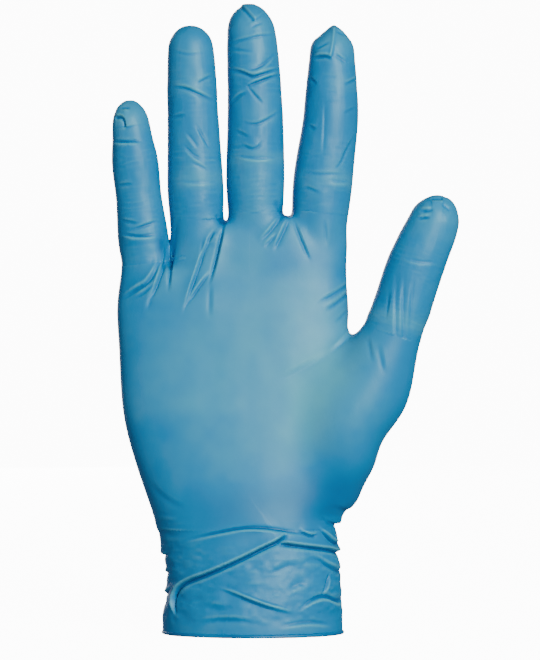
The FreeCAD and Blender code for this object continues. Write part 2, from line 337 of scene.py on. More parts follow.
def between_fingers(co, normals):
    """1 where a fold may stand out, and less on the sides of two fingers that lie close together."""
    owner, place = on_digits(co)
    keep = np.ones(len(co))
    for number, digit in enumerate(DIGITS.values()):
        mine = (owner == number) & (digit.name != "thumb")
        side = np.abs(normals[mine] @ digit.side)
        keep[mine] = 1.0 - 0.85 * smoothstep(0.6, 0.9, side) * smoothstep(40 * MM, 25 * MM, place[mine])
    return keep


def bowed(co):
    """The skin with the digits bent a little sideways and its outline corrected."""
    owner, place = on_digits(co)
    co = co.copy()
    for number, (name, digit) in enumerate(DIGITS.items()):
        mine = owner == number
        for sideways, at, width in BOWS.get(name, ()):
            co[mine] += np.outer(sideways * MM * bell(place[mine] - at * MM, width * MM), digit.side)
    x, z = co[:, 0] / MM, co[:, 2] / MM
    heel = smoothstep(18.0, 40.0, x)
    for at, reach, shift in HEEL_SHIFTS:
        co[:, 0] += shift * MM * heel * bell(z - at, reach)
    for at_x, at_z, wide, high, rise in WEB_RISES:
        co[:, 2] += rise * MM * bell(x - at_x, wide) * bell(z - at_z, high)
    tip = smoothstep(221.0, 231.0, z)
    for at, reach, rise in TIP_RISES:
        co[:, 2] += rise * MM * tip * bell(x - at, reach)
    return co


# ---------------------------------------------------------------- folds
# A fold is a line of points and a profile across it. On the palm and digits the points are (x, z) in
# millimetres, and the fold shows on the palm side, or on the back for back=True. On the cuff they are
# (degrees round from the palm side towards the thumb, z in millimetres). The film dips sharply in the line
# and stands up beside it by lip times as much, on the line's left, or on its right for a side of -1. It then
# runs out over the length of its roll.

def rounded(points):
    """A line through the points with its corners rounded, by two rounds of corner cutting."""
    for _ in range(2):
        inner = [points[0]]
        for a, b in zip(points, points[1:]):
            inner += [0.75 * a + 0.25 * b, 0.25 * a + 0.75 * b]
        points = inner + [points[-1]]
    return points


def line_field(u, v, points):
    """Signed distance from a line (positive on its left) and the place along it from 0 to 1."""
    line = rounded(list(points))
    lengths = [np.linalg.norm(b - a) for a, b in zip(line, line[1:])]
    total, run = sum(lengths), 0.0
    best = np.full(len(u), np.inf)
    signed, place = np.zeros(len(u)), np.zeros(len(u))
    for a, b, length in zip(line, line[1:], lengths):
        d = (b - a) / max(length, 1e-9)
        pu, pv = u - a[0], v - a[1]
        t = np.clip(pu * d[0] + pv * d[1], 0.0, length)
        gap = np.hypot(pu - t * d[0], pv - t * d[1])
        closer = gap < best
        side = np.sign(d[0] * pv - d[1] * pu)
        best[closer] = gap[closer]
        signed[closer] = (gap * side)[closer]
        place[closer] = (run + t[closer]) / total
        run += length
    return signed, place


def profile(s, width, lip, roll):
    """The height across a fold of depth 1, at signed distances s from its line."""
    dip = bell(s, width)
    crest = smoothstep(0.0, 1.8 * width, s) * np.exp(-np.maximum(s - 1.8 * width, 0.0) / roll)
    foot = smoothstep(0.0, -1.8 * width, s) * np.exp(np.minimum(s + 1.8 * width, 0.0) / roll)
    return lip * crest - 0.2 * foot - dip


def stamped(u, v, points, depth, width, lip=0.7, side=1, ends=0.4, roll=2.4):
    """How far a fold moves each place (u, v), all in millimetres."""
    points = np.array(points, float)
    reach = 3.0 * roll + 3.0 * width
    near = (u > points[:, 0].min() - reach) & (u < points[:, 0].max() + reach)
    near &= (v > points[:, 1].min() - reach) & (v < points[:, 1].max() + reach)
    height = np.zeros(len(u))
    signed, place = line_field(u[near], v[near], points)
    fade = smoothstep(0.0, ends, place) * smoothstep(0.0, ends, 1.0 - place)
    height[near] = depth * profile(side * signed, width, lip, roll) * fade
    return height


def facing(normals, back):
    """How far each place shows to the palm side, or to the back."""
    return smoothstep(-0.1, 0.3, normals[:, 1] if back else -normals[:, 1])


def fold_heights(co, normals):
    """What all the folds together do to each vertex, in millimetres."""
    owner, _ = on_digits(co)
    x, z = co[:, 0] / MM, co[:, 2] / MM
    height = np.zeros(len(co))
    for number, name in enumerate([*DIGITS, "palm"]):
        mine = owner == number if name != "palm" else z > PALM_FROM
        for line, depth, width, more in FOLDS[name]:
            more = dict(more)
            back = more.pop("back", False)
            shown = facing(normals[mine], back)
            height[mine] += shown * stamped(x[mine], z[mine], line, depth, width, **more)
    low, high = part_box("cuff_sleeve")
    turn = np.degrees(np.arctan2(co[:, 0] / high.x, co[:, 1] / low.y))
    for line, depth, width, more in CUFF_FOLDS:
        points = np.array(line, float) * (ROUND_CUFF, 1.0)
        centre = 0.5 * (line[0][0] + line[-1][0])
        u = ((turn - centre + 180.0) % 360.0 - 180.0 + centre) * ROUND_CUFF
        height += stamped(u, z, points, depth, width, **more)
    return height * smoothstep(0.8, 3.0, z)


# Each row: points, depth, width, and what differs from the usual.
RING_FOLDS = [
    ([(-32.0, 208.2), (-25.5, 207.4), (-21.5, 205.4), (-13.5, 202.0)], 0.41, 0.67, dict(lip=1.0)),
    ([(-21.6, 208.6), (-15.0, 212.8)], 0.21, 0.62, {}),
    ([(-31.5, 196.2), (-25.0, 197.2)], 0.21, 0.67, {}),
    ([(-22.0, 194.6), (-15.5, 183.0)], 0.3, 0.67, dict(side=-1)),
    ([(-26.0, 192.0), (-20.0, 184.0)], 0.22, 0.67, dict(side=-1)),
    ([(-26.8, 187.0), (-23.0, 182.2), (-17.5, 179.2)], 0.27, 0.67, dict(side=-1)),
    ([(-24.5, 180.0), (-16.0, 175.6)], 0.17, 0.67, {}),
    ([(-30.0, 172.8), (-21.0, 171.6), (-13.0, 172.6)], 0.11, 0.78, dict(side=-1, lip=1.4, roll=1.6)),
    ([(-31.0, 222.0), (-24.0, 219.6), (-17.0, 221.0)], 0.11, 0.67, {}),
    ([(-31.0, 206.0), (-23.0, 204.4), (-15.0, 206.6)], 0.24, 0.67, dict(back=True)),
    ([(-30.0, 209.6), (-23.0, 208.0), (-16.0, 209.4)], 0.17, 0.67, dict(back=True, side=-1)),
    ([(-31.0, 182.6), (-22.0, 184.4), (-13.6, 182.0)], 0.3, 0.78, dict(back=True)),
    ([(-29.0, 187.6), (-22.0, 189.4), (-15.0, 188.0)], 0.21, 0.67, dict(back=True, side=-1)),
    ([(-28.0, 177.6), (-20.0, 178.6)], 0.17, 0.67, dict(back=True)),
]
MIDDLE_FOLDS = [
    ([(-6.4, 238.9), (-4.6, 238.4), (-2.0, 235.6), (0.6, 232.4)], 0.51, 0.67, dict(lip=1.1, ends=0.12)),
    ([(-1.3, 229.8), (2.0, 231.8), (4.6, 232.0)], 0.17, 0.67, dict(side=-1)),
    ([(-9.5, 224.0), (-1.3, 226.2), (8.6, 228.0)], 0.23, 0.62, {}),
    ([(-9.5, 222.6), (1.0, 221.0)], 0.15, 0.67, dict(side=-1)),
    ([(8.6, 221.4), (5.4, 217.4), (1.6, 214.6), (-3.0, 214.0)], 0.34, 0.62, {}),
    ([(-9.8, 214.6), (-4.1, 213.3), (0.0, 211.2), (3.8, 212.6), (10.8, 215.2)], 0.54, 0.67, dict(lip=1.2)),
    ([(-3.4, 207.2), (-1.0, 208.4), (2.7, 209.9), (10.8, 213.0)], 0.54, 0.62, dict(lip=1.0)),
    ([(-3.0, 209.6), (-1.0, 206.5), (4.4, 200.6)], 0.29, 0.62, {}),
    ([(-1.3, 206.0), (-5.8, 204.1), (-8.8, 200.4)], 0.29, 0.67, dict(side=-1)),
    ([(-5.0, 195.0), (0.6, 193.0), (6.6, 195.8), (11.0, 199.8)], 0.31, 0.67, {}),
    ([(-7.5, 191.6), (-1.0, 188.6)], 0.21, 0.67, {}),
    ([(-5.6, 186.8), (0.6, 183.4), (4.6, 187.8)], 0.27, 0.67, {}),
    ([(-7.5, 182.4), (0.8, 180.6), (9.5, 181.4)], 0.21, 0.67, dict(side=-1, lip=1.3, roll=1.6)),
    ([(-9.0, 212.0), (0.0, 210.0), (9.0, 212.6)], 0.27, 0.67, dict(back=True)),
    ([(-8.0, 215.6), (1.0, 214.0), (8.6, 216.0)], 0.19, 0.67, dict(back=True, side=-1)),
    ([(-9.6, 185.6), (0.6, 187.8), (10.0, 185.0)], 0.34, 0.78, dict(back=True)),
    ([(-8.0, 191.2), (1.0, 193.0), (9.4, 190.6)], 0.23, 0.67, dict(back=True, side=-1)),
    ([(-6.0, 180.6), (4.0, 181.6)], 0.17, 0.67, dict(back=True)),
]
INDEX_FOLDS = [
    ([(30.9, 231.4), (30.4, 225.2), (29.1, 218.6)], -0.51, 0.67, dict(lip=0.4, ends=0.12)),
    ([(31.2, 229.6), (35.8, 227.4)], 0.41, 0.67, {}),
    ([(22.4, 218.8), (27.6, 219.6), (30.2, 218.0)], 0.54, 0.67, dict(lip=1.0)),
    ([(30.6, 220.4), (35.6, 216.8)], 0.27, 0.67, {}),
    ([(23.6, 222.0), (29.6, 225.2)], 0.27, 0.67, dict(side=-1)),
    ([(21.0, 212.0), (24.5, 208.4)], 0.27, 0.62, {}),
    ([(20.6, 193.4), (24.0, 191.6)], 0.27, 0.67, {}),
    ([(34.4, 208.4), (40.4, 211.6)], 0.24, 0.62, {}),
    ([(27.4, 206.0), (27.2, 194.0), (26.6, 180.0)], 0.18, 0.67, dict(side=-1, lip=1.0, roll=5.0)),
    ([(41.0, 193.0), (35.4, 184.0), (33.8, 179.2), (30.2, 175.4)], 0.29, 0.67, dict(side=-1, lip=0.9)),
    ([(18.6, 176.0), (26.0, 174.4), (36.0, 175.0)], 0.14, 0.67, {}),
    ([(27.0, 172.6), (34.0, 172.0), (38.5, 172.8)], 0.11, 0.78, dict(side=-1, lip=1.6, roll=1.6)),
    ([(18.6, 170.4), (26.0, 167.4)], 0.19, 0.67, {}),
    ([(34.0, 197.6), (40.0, 200.6)], 0.15, 0.67, {}),
    ([(22.0, 206.0), (30.0, 204.4), (38.6, 206.6)], 0.25, 0.67, dict(back=True)),
    ([(22.6, 209.8), (30.0, 208.0), (38.0, 209.6)], 0.18, 0.67, dict(back=True, side=-1)),
    ([(18.6, 183.0), (28.0, 185.2), (37.6, 182.4)], 0.33, 0.78, dict(back=True)),
    ([(20.0, 188.4), (28.6, 190.2), (37.0, 187.8)], 0.21, 0.67, dict(back=True, side=-1)),
    ([(22.0, 177.4), (31.0, 178.4)], 0.17, 0.67, dict(back=True)),
]
LITTLE_FOLDS = [
    ([(-52.4, 196.4), (-49.4, 196.6), (-48.6, 192.4)], 0.68, 0.61, dict(ends=0.12)),
    ([(-50.8, 199.4), (-48.6, 200.6), (-46.0, 199.6)], 0.41, 0.66, dict(side=-1)),
    ([(-54.6, 187.8), (-49.0, 187.2), (-41.6, 187.6)], 0.5, 0.61, dict(side=-1, lip=1.0)),
    ([(-51.0, 152.9), (-44.0, 151.2), (-35.6, 152.2)], 0.45, 0.61, dict(side=-1, lip=1.2)),
    ([(-46.2, 154.0), (-41.0, 155.2), (-35.6, 157.4)], 0.36, 0.61, {}),
    ([(-51.0, 157.6), (-43.0, 156.0)], 0.25, 0.66, {}),
    ([(-52.4, 170.6), (-45.0, 171.2)], 0.2, 0.66, {}),
    ([(-52.6, 182.0), (-46.0, 180.6), (-40.0, 182.4)], 0.31, 0.66, dict(back=True)),
    ([(-52.0, 185.4), (-46.0, 184.2), (-41.0, 185.6)], 0.22, 0.66, dict(back=True, side=-1)),
    ([(-50.6, 161.6), (-42.6, 163.2), (-35.0, 161.4)], 0.36, 0.77, dict(back=True)),
    ([(-50.0, 166.2), (-43.0, 167.6), (-36.6, 166.0)], 0.23, 0.66, dict(back=True, side=-1)),
]
THUMB_FOLDS = [
    ([(67.0, 165.4), (72.0, 165.5)], 0.6, 0.7, dict(side=-1, ends=0.2)),
    ([(62.4, 160.8), (66.0, 160.4), (68.4, 161.4)], 0.6, 0.7, {}),
    ([(61.6, 157.6), (67.2, 158.2)], 0.45, 0.6, {}),
    ([(70.4, 164.0), (75.0, 160.0)], 0.25, 0.7, {}),
    ([(54.4, 140.0), (53.8, 126.0), (54.0, 108.0)], 0.24, 0.8, dict(side=-1)),
    ([(57.4, 139.6), (56.4, 126.0), (57.2, 106.0)], 0.3, 0.8, dict(side=-1)),
    ([(61.2, 138.0), (59.6, 127.0), (59.4, 110.0)], 0.24, 0.8, dict(side=-1)),
    ([(51.6, 131.0), (50.0, 119.0)], 0.28, 0.6, {}),
    ([(56.0, 143.6), (63.0, 141.2), (70.4, 141.6)], 0.2, 0.7, dict(side=-1)),
    ([(56.0, 142.0), (63.0, 144.0), (71.0, 140.4)], 0.4, 0.7, dict(back=True)),
    ([(57.0, 147.4), (64.0, 148.4), (71.0, 145.4)], 0.26, 0.6, dict(back=True, side=-1)),
    ([(50.0, 120.0), (58.0, 122.0), (66.0, 118.0)], 0.3, 0.8, dict(back=True)),
]
PALM_FOLDS = [
    # between little and ring finger
    ([(-32.8, 149.6), (-33.0, 142.4), (-35.4, 135.2), (-38.4, 127.0)], 0.92, 0.72, dict(side=-1, ends=0.3)),
    ([(-30.4, 147.6), (-31.2, 141.6), (-32.2, 129.2)], 0.69, 0.72, {}),
    ([(-27.7, 160.6), (-29.6, 152.4), (-30.9, 142.4), (-32.4, 131.4)], 0.31, 0.96, dict(side=-1, lip=1.0)),
    ([(-50.4, 126.6), (-44.6, 130.8), (-39.0, 133.6), (-34.2, 144.0)], 0.74, 0.84, dict(lip=0.8)),
    ([(-45.0, 127.4), (-40.0, 130.6), (-36.6, 134.0)], 0.41, 0.72, {}),
    ([(-36.6, 134.0), (-40.4, 121.6)], 0.31, 0.96, dict(side=-1)),
    # between ring and middle finger
    ([(-14.0, 160.4), (-11.6, 157.4), (-9.6, 156.0)], 0.92, 1.08, dict(lip=0.3)),
    ([(-10.6, 159.0), (-12.6, 149.0), (-14.6, 140.4), (-17.0, 131.6)], 1.01, 0.72, dict(lip=0.9)),
    ([(-13.4, 155.4), (-17.6, 147.4), (-21.6, 135.8), (-26.6, 120.6)], 0.64, 0.72, dict(side=-1, lip=1.0)),
    ([(-15.4, 138.6), (-21.4, 130.4), (-25.2, 124.4)], 0.57, 0.66, dict(side=-1)),
    ([(-14.4, 153.6), (-17.6, 148.6)], 0.41, 0.66, {}),
    ([(-18.6, 151.4), (-20.4, 139.0)], 0.31, 0.72, {}),
    ([(-16.2, 134.0), (-16.6, 120.0)], 0.24, 0.96, {}),
    # between middle and index finger
    ([(8.6, 166.0), (11.4, 161.0), (15.6, 158.4)], 1.1, 1.44, dict(side=-1, lip=0.3)),
    ([(14.6, 159.4), (11.6, 152.6), (8.0, 145.0)], 0.57, 0.84, dict(side=-1, lip=0.9)),
    ([(12.0, 160.0), (7.4, 153.6), (2.6, 148.6)], 0.46, 0.84, dict(side=-1, lip=1.1)),
    ([(9.6, 152.4), (4.2, 146.6)], 0.31, 0.72, dict(side=-1)),
    ([(14.6, 159.4), (17.2, 152.0), (21.8, 141.0)], 0.41, 0.72, dict(lip=1.1)),
    ([(27.0, 158.4), (27.8, 147.0)], 0.18, 0.84, {}),
    # above the thumb's web
    ([(24.0, 125.4), (29.0, 128.0), (35.0, 131.8), (40.0, 136.0)], 0.37, 0.96, {}),
    ([(27.0, 122.4), (32.4, 126.0), (40.0, 132.4)], 0.39, 0.96, {}),
    ([(31.0, 118.0), (37.4, 124.4)], 0.18, 0.84, {}),
    ([(34.0, 113.6), (40.0, 121.0)], 0.24, 0.84, {}),
    ([(43.0, 120.4), (36.0, 112.6), (28.4, 106.0)], 0.41, 0.96, dict(side=-1)),
    ([(31.6, 107.8), (23.0, 103.0), (14.4, 98.4), (8.0, 95.0)], 0.22, 1.56, dict(side=-1, roll=5.0)),
    ([(43.0, 114.0), (44.8, 103.0)], 0.28, 0.96, {}),
    ([(46.6, 112.0), (49.4, 98.0)], 0.2, 1.08, {}),
    # the heel and the thumb's mound
    ([(-41.0, 60.0), (-34.0, 52.0), (-24.0, 47.6)], 0.18, 1.32, dict(roll=4.0)),
    # the back of the hand
    ([(-31.0, 150.0), (-32.4, 141.0), (-36.0, 131.0)], 0.74, 0.84, dict(back=True)),
    ([(-10.8, 158.0), (-11.4, 148.0), (-13.0, 136.0)], 0.74, 0.84, dict(back=True)),
    ([(13.6, 158.0), (13.0, 149.0), (11.0, 138.0)], 0.74, 0.84, dict(side=-1, back=True)),
    ([(-14.0, 150.0), (-19.0, 138.0), (-23.0, 124.0)], 0.28, 0.96, dict(side=-1, back=True)),
    ([(11.0, 150.0), (5.0, 138.0), (2.0, 126.0)], 0.28, 0.96, dict(back=True)),
    ([(40.0, 114.0), (31.0, 108.0), (20.0, 104.0)], 0.46, 1.08, dict(side=-1, back=True)),
    ([(44.0, 108.0), (34.0, 98.0), (26.0, 86.0)], 0.31, 1.2, dict(side=-1, roll=4.0, back=True)),
    ([(-46.0, 92.0), (-36.0, 80.0), (-28.0, 66.0)], 0.2, 1.44, dict(roll=4.0, back=True)),
]
CUFF_FOLDS = [
    # the palm side: the upper arc, the long slanting fold, its branch, and the pinched fold under it
    ([(-52.0, 36.2), (-28.0, 39.4), (-6.0, 41.8), (12.0, 41.4), (28.0, 39.8), (48.0, 38.8)], 0.7, 0.65,
     dict(side=-1, lip=0.9, roll=2.6)),
    ([(-58.0, 8.0), (-63.0, 12.6), (-62.0, 16.0), (-54.0, 19.6), (-31.0, 23.6), (-9.5, 28.9), (8.6, 33.8),
      (18.6, 36.0), (26.5, 39.6)], 1.5, 0.7, dict(lip=1.0, ends=0.1, roll=4.0)),
    ([(16.0, 35.4), (27.0, 34.7), (41.0, 33.6), (62.0, 32.4), (84.0, 30.6), (108.0, 31.6)], 1.3, 0.65,
     dict(lip=1.0, ends=0.12, roll=2.2)),
    ([(-26.0, 19.8), (-14.0, 18.0), (-1.0, 14.9), (10.0, 12.6), (20.4, 11.0), (30.0, 9.4)], -1.1, 0.75,
     dict(side=-1, lip=0.35, roll=2.0)),
    ([(28.0, 9.6), (40.0, 14.2), (53.0, 15.9), (72.0, 12.6), (95.0, 14.6)], 1.0, 0.8, dict(side=-1, lip=0.8)),
    ([(33.0, 40.4), (44.0, 37.6), (52.0, 38.8)], 0.7, 0.6, dict(lip=0.8, roll=1.6)),
    ([(50.0, 41.6), (58.0, 38.6), (70.0, 34.6), (92.0, 34.4)], 1.1, 0.7, dict(lip=0.9, roll=1.8)),
    ([(56.0, 45.6), (70.0, 42.0), (86.0, 41.4), (110.0, 43.6)], 0.55, 0.7, dict(lip=0.9, roll=1.8)),
    ([(60.0, 49.6), (78.0, 46.4), (104.0, 48.6)], 0.3, 0.8, dict(roll=2.0)),
    ([(34.0, 28.6), (48.0, 30.0), (60.0, 26.0), (84.0, 23.4), (112.0, 26.0)], 0.7, 0.9, dict(roll=2.4)),
    ([(12.0, 24.0), (24.0, 27.4), (34.0, 27.0)], 0.3, 1.3, dict(roll=2.6)),
    ([(20.0, 17.6), (32.0, 20.6), (42.0, 20.0)], 0.34, 1.3, dict(side=-1, roll=2.6)),
    ([(50.0, 15.6), (57.0, 20.0), (61.0, 25.0)], 0.6, 0.7, dict(side=-1)),
    ([(-36.0, 13.0), (-24.0, 10.6), (-12.0, 12.8)], 0.36, 1.2, dict(roll=2.8)),
    ([(-40.0, 5.4), (-14.0, 7.4), (8.0, 5.0)], 0.4, 1.0, dict(roll=2.4)),
    ([(14.0, 4.4), (36.0, 6.6), (64.0, 4.6)], 0.45, 0.9, dict(side=-1, roll=2.2)),
    # the little finger's side
    ([(-66.0, 31.4), (-82.0, 29.4), (-100.0, 31.0), (-118.0, 33.0)], 1.1, 0.7, dict(side=-1, roll=2.0)),
    ([(-68.0, 24.8), (-86.0, 22.6), (-106.0, 24.6)], 0.8, 0.7, dict(side=-1, roll=2.0)),
    ([(-66.0, 17.6), (-84.0, 14.8), (-104.0, 16.2)], 0.9, 0.7, dict(side=-1, roll=2.0)),
    ([(-60.0, 40.0), (-84.0, 38.0), (-110.0, 40.4)], 0.22, 0.9, dict(side=-1, roll=2.0)),
    # the back
    ([(112.0, 33.0), (138.0, 36.8), (168.0, 38.6), (196.0, 37.0), (224.0, 33.4)], 1.0, 0.7,
     dict(roll=3.0)),
    ([(118.0, 15.0), (142.0, 19.6), (170.0, 25.0), (198.0, 29.4), (232.0, 31.0)], 1.2, 0.7,
     dict(side=-1, roll=3.6)),
    ([(196.0, 12.6), (214.0, 16.6), (238.0, 18.0)], 0.8, 0.7, dict(roll=2.4)),
    ([(140.0, 10.0), (160.0, 12.8), (182.0, 11.0)], 0.7, 0.8, dict(side=-1, roll=2.4)),
    ([(150.0, 44.6), (180.0, 46.4), (208.0, 44.0)], 0.5, 0.9, dict(roll=3.0)),
    ([(126.0, 27.0), (140.0, 25.0), (152.0, 27.4)], 0.45, 1.0, dict(roll=2.6)),
    ([(130.0, 5.0), (165.0, 7.0), (205.0, 5.2)], 0.45, 0.9, dict(side=-1, roll=2.2)),
]
FOLDS = {
    "ring": RING_FOLDS, "middle": MIDDLE_FOLDS, "index": INDEX_FOLDS, "little": LITTLE_FOLDS,
    "thumb": THUMB_FOLDS, "palm": PALM_FOLDS,
}


# ---------------------------------------------------------------- finer wrinkles, and how thin the film is drawn, with painted sheen and shade

def noise_sum(p, seed, rounds=3):
    """Noise with finer and finer noise added, each round twice as fine and half as strong."""
    total = np.zeros(len(p))
    for n in range(rounds):
        total += lattice_noise(p * 2.0 ** n, seed + n) / 2.0 ** n
    return total


def fine_wrinkles(co):
    """Small wrinkles in millimetres: across each digit near its joints, and soft dents in the loose cuff."""
    owner, place = on_digits(co)
    height = np.zeros(len(co))
    for number, (name, digit) in enumerate(DIGITS.items()):
        mine = owner == number
        offset = co[mine] - digit.root
        across, out = offset @ digit.side / MM, offset @ digit.front / MM
        run = place[mine] / MM
        grain = np.stack([across / 7.0, out / 6.0, run / 1.9], 1)
        ridges = 1.0 - 2.0 * np.abs(noise_sum(grain, 11 + number, 2))
        near = np.zeros(mine.sum())
        for start, end in BENDS[name]:
            near = np.maximum(near, bell(run - 0.5 * (start + end), 8.0))
        soft = noise_sum(np.stack([across / 5.0, out / 5.0, run / 7.0], 1), 41 + number, 2)
        height[mine] = RIDGE * near * ridges + SOFT * soft
    x, z = co[:, 0] / MM, co[:, 2] / MM
    loose = smoothstep(3.0, 8.0, z) * smoothstep(44.0, 26.0, z)
    dents = noise_sum(co / MM * (1 / 9.0, 1 / 9.0, 1 / 6.0), 71, 3)
    height += DENT * loose * dents
    side = smoothstep(20.0, 36.0, x) + smoothstep(-20.0, -34.0, x)
    ripple = noise_sum(co / MM * (1 / 12.0, 1 / 12.0, 1 / 3.2), 83, 2)
    height += RIPPLE * smoothstep(4.0, 10.0, z) * smoothstep(52.0, 40.0, z) * side * ripple
    palm = (owner < 0) & (z > PALM_FROM)
    height[palm] += SWELL * noise_sum(co[palm] / MM * (1 / 16.0, 1 / 16.0, 1 / 26.0), 97, 2)
    return height


def cavity(co, faces, normals):
    """How deep each vertex lies under the mean of its surroundings, in tenths of a millimetre."""
    near = relaxed(co, faces, np.ones(len(co)), 6)
    return np.einsum("ij,ij->i", near - co, normals) / (0.1 * MM)


def stretch_sheen_and_shade(co):
    """How pale the film is painted: paler where it is drawn thin and where a painted sheen lies on the palm
    and thumb, below 0 for painted shade in the webs and at the heel, with a random mottle.
    """
    owner, place = on_digits(co)
    x, z = co[:, 0] / MM, co[:, 2] / MM
    tight_sheen_and_shade = np.zeros(len(co))
    for at_x, at_z, wide, high, amount in STRETCH_SHEEN_AND_SHADE_PLACES:
        tight_sheen_and_shade += amount * bell(x - at_x, wide) * bell(z - at_z, high)
    for number, name in enumerate(DIGITS):
        mine = owner == number
        for at, width, amount in PALE_BANDS.get(name, ()):
            tight_sheen_and_shade[mine] += amount * bell(place[mine] / MM - at, width)
    mottled = noise_sum(co / MM / 11.0, 131, 3)
    return tight_sheen_and_shade + 0.16 * mottled


# ---------------------------------------------------------------- the wrinkled film, in sections

coarse = opened(remeshed(closed_film()), CUT_AT, CUFF_BOTTOM)
points, quads = largest_part(*mesh_arrays(coarse))
points[:, 0] /= SPREAD
points = relaxed(points, quads, body_weight(points), BODY_ROUNDS)
points = relaxed(points, quads, mound_weight(points), MOUND_ROUNDS)
points = bowed(points)
points, quads = subdivided(points, quads)
outward = normals_of(points, quads)
heights = (fold_heights(points, outward) + fine_wrinkles(points)) * between_fingers(points, outward)
points += outward * (heights * MM)[:, None]
skin_normals = normals_of(points, quads)
# Colour value for the ramp: darker where the film lies in a hollow and paler on its ridges, which is painted
# shade in the creases and a painted highlight on the ridges, partly also thicker and thinner film.
tone_and_painted_light = 0.5 + 0.35 * stretch_sheen_and_shade(points) - 0.22 * np.clip(cavity(points, quads, skin_normals), -1.6, 2.4)
tone_and_painted_light = np.clip(tone_and_painted_light, 0.0, 1.0)


def film_look():
    """Blue nitrile, its colour ramp run by a colour attribute: deep blue for painted shade in creases, webs
    and heel, pale where the film is drawn thin and for a painted sheen on the palm, with a dry satin surface.
    """
    material = bpy.data.materials.new("nitrile_film")
    material.use_nodes = True
    nodes, links = material.node_tree.nodes, material.node_tree.links
    shader = nodes["Principled BSDF"]
    shader.inputs["IOR"].default_value = 1.42
    painted_light_tone_at = nodes.new("ShaderNodeAttribute")
    painted_light_tone_at.attribute_name = "tone_and_painted_light"
    ramp = nodes.new("ShaderNodeValToRGB")
    ramp.color_ramp.elements[0].color = (*DEEP_BLUE, 1.0)
    ramp.color_ramp.elements[1].color = (*PALE_BLUE, 1.0)
    middle = ramp.color_ramp.elements.new(0.5)
    middle.color = (*BLUE, 1.0)
    links.new(painted_light_tone_at.outputs["Fac"], ramp.inputs["Fac"])
    links.new(ramp.outputs["Color"], shader.inputs["Base Color"])
    place = nodes.new("ShaderNodeTexCoord")
    cloud = nodes.new("ShaderNodeTexNoise")
    cloud.inputs["Scale"].default_value = 60.0
    cloud.inputs["Detail"].default_value = 4.0
    rough = nodes.new("ShaderNodeMapRange")
    rough.inputs["From Min"].default_value = 0.3
    rough.inputs["From Max"].default_value = 0.7
    rough.inputs["To Min"].default_value = 0.4
    rough.inputs["To Max"].default_value = 0.5
    links.new(place.outputs["Object"], cloud.inputs["Vector"])
    links.new(cloud.outputs["Fac"], rough.inputs["Value"])
    links.new(rough.outputs["Result"], shader.inputs["Roughness"])
    grain = nodes.new("ShaderNodeTexNoise")
    grain.inputs["Scale"].default_value = 1500.0
    grain.inputs["Detail"].default_value = 2.0
    bump = nodes.new("ShaderNodeBump")
    bump.inputs["Strength"].default_value = 0.25
    bump.inputs["Distance"].default_value = 0.05 * MM
    links.new(place.outputs["Object"], grain.inputs["Vector"])
    links.new(grain.outputs["Fac"], bump.inputs["Height"])
    links.new(bump.outputs["Normal"], shader.inputs["Normal"])
    return material


FILM_LOOK = film_look()


def section(name, kept, nodes):
    """One section of the film as a piece of its own, shaded as one surface with its neighbours."""
    used = np.unique(quads[kept])
    index = np.full(len(points), -1)
    index[used] = np.arange(len(used))
    mesh = new_mesh(name, points[used], index[quads[kept]])
    mesh.polygons.foreach_set("use_smooth", np.ones(len(mesh.polygons), bool))
    # This colour value carries painted shade and highlight along with the film's own variation.
    values = mesh.attributes.new("tone_and_painted_light", "FLOAT", "POINT")
    values.data.foreach_set("value", tone_and_painted_light[used].astype(np.float32))
    mesh.materials.append(FILM_LOOK)
    mesh.normals_split_custom_set_from_vertices(skin_normals[used].tolist())
    obj = new_object(name, mesh)
    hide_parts(*nodes)
    return obj


middles = points[quads].mean(axis=1)
face_owner, face_place = on_digits(middles)
on_wrist = middles[:, 2] < WRIST_END * MM
wrist = section("wrist_film", on_wrist, ["cuff_sleeve", "wrist_crease"])
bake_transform(wrist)
palm = section("palm_film", (face_owner < 0) & ~on_wrist, ["palm"])
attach(palm, "hand")
for number, (name, digit) in enumerate(DIGITS.items()):
    bends = BENDS[name]
    slant = SLANTS.get(name, 0.0)
    slanted = face_place - slant * ((middles - digit.root) @ digit.side)
    borders = [0.5 * (a[1] + b[0]) * MM for a, b in zip(bends, bends[1:])]
    passed = sum((measure >= border).astype(int) for measure, border in zip((slanted, face_place), borders))
    for step, ((start, end), joint) in enumerate(zip(bends, digit.joints)):
        child = JOINTS[joint]["child"]
        part = joint.split("_")[1]
        kept = (face_owner == number) & (passed == step)
        piece = section(f"{name}_{part}_film", kept, [f"{name}_{part}_crease", child])
        way = digit.up - (slant if step < 2 else 0.0) * digit.side
        way = way * MM / (way @ way)
        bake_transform(piece)


# ---------------------------------------------------------------- the rolled rim

